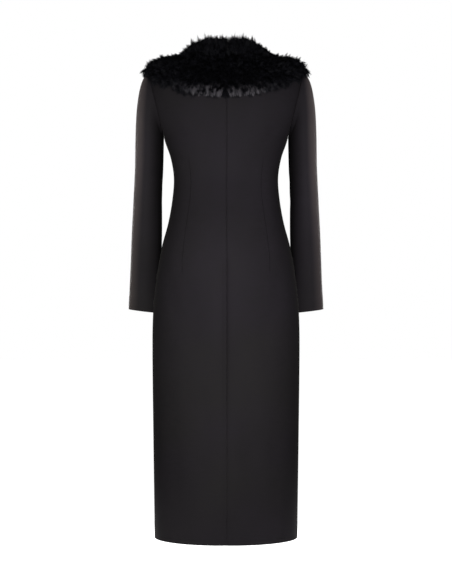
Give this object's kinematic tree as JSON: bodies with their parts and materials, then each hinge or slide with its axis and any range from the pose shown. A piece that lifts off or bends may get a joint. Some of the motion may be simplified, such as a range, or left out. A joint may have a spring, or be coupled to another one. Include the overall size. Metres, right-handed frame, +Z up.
{
  "type": "long coat",
  "caption": "Long fitted wool coat with a wide fur shawl collar, waist darts and narrow sleeves, in the shape it has when worn.",
  "frame": {"origin": "midway between the shoulders at half the height of the shoulder seams, in the plane of the side seams, where the coat hangs from the wearer", "axes": "+Z up, +Y out of the back, -Y out of the front, +X to the wearer's left"},
  "size_m": [0.5072, 0.3011, 1.2684],
  "materials": {
    "wool": "matt, smooth wool cloth with a fine grain",
    "fur": "long, spiky fur with a soft shine",
    "button": "satin"
  },
  "bodies": {
    "root": {"back_left": "wool", "back_right": "wool", "front_left": "wool", "front_right": "wool", "sleeve_left": "wool", "sleeve_right": "wool", "collar_left": "fur", "collar_right": "fur", "button_1": "button", "button_2": "button", "button_3": "button"}
  },
  "joints": []
}
